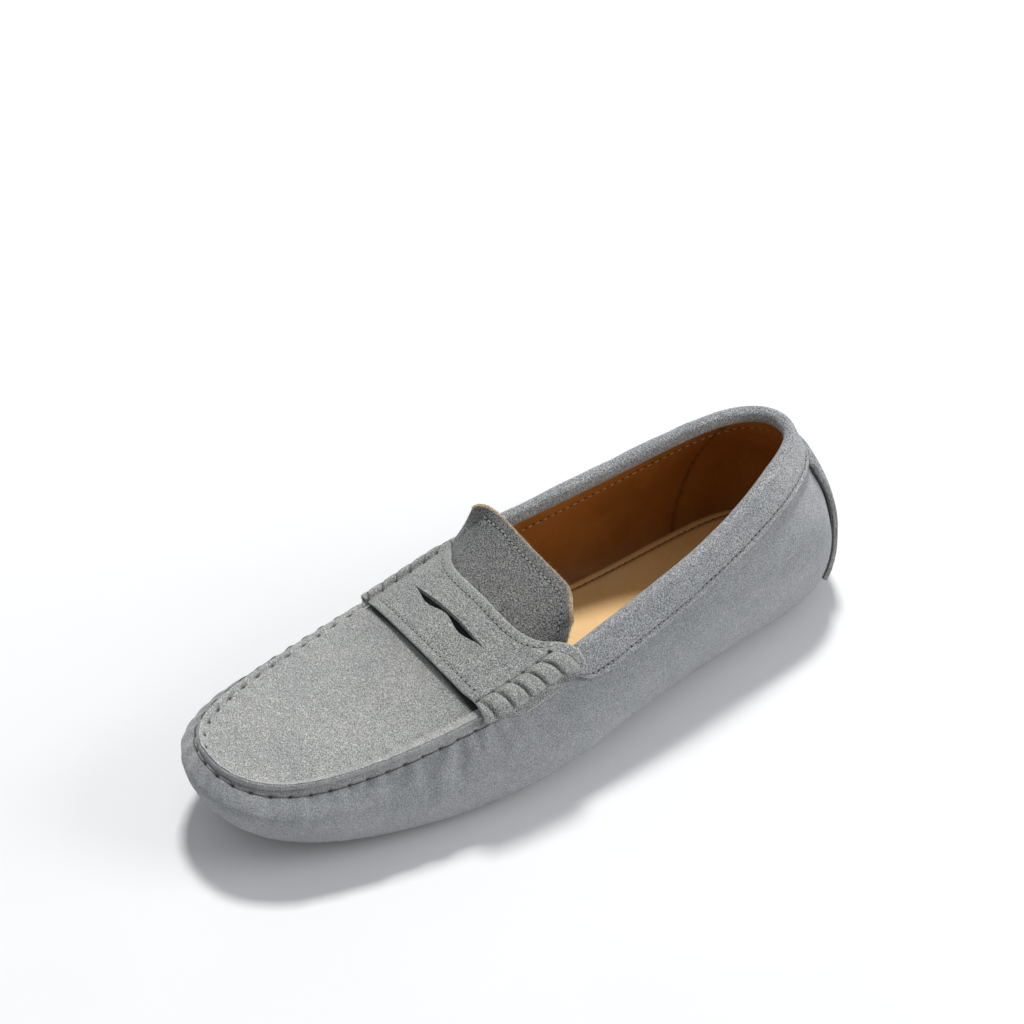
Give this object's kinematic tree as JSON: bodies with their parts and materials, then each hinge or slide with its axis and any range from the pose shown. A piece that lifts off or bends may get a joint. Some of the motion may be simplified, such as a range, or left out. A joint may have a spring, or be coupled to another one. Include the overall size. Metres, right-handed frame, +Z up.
{
  "type": "driving moccasin",
  "caption": "Left driving moccasin in suede: closed moccasin tub and apron with raised hand seam, slotted strap, tongue flap, bound collar, heel patch, leather footbed and studded rubber sole.",
  "frame": {"origin": "on the floor under the middle of the shoe's bounding box", "axes": "the toe points along -Y and the heel along +Y; +X is the outer side of the left foot; +Z is up"},
  "size_m": [0.1004, 0.2883, 0.0738],
  "materials": {
    "upper_suede": "suede nap, matte",
    "strap_suede": "suede nap, matte",
    "tongue_suede": "suede nap, matte",
    "binding_suede": "suede nap, matte",
    "patch_suede": "suede nap, matte",
    "lining_leather": "smooth, satin",
    "footbed_leather": "smooth, satin",
    "sole_rubber": "moulded, matte",
    "waxed_thread": "twisted thread"
  },
  "bodies": {
    "root": {"upper": "upper_suede", "penny_strap": "strap_suede", "tongue": "tongue_suede", "collar_binding": "binding_suede", "heel_patch": "patch_suede", "insole": "footbed_leather", "outsole": "sole_rubber"}
  },
  "joints": []
}
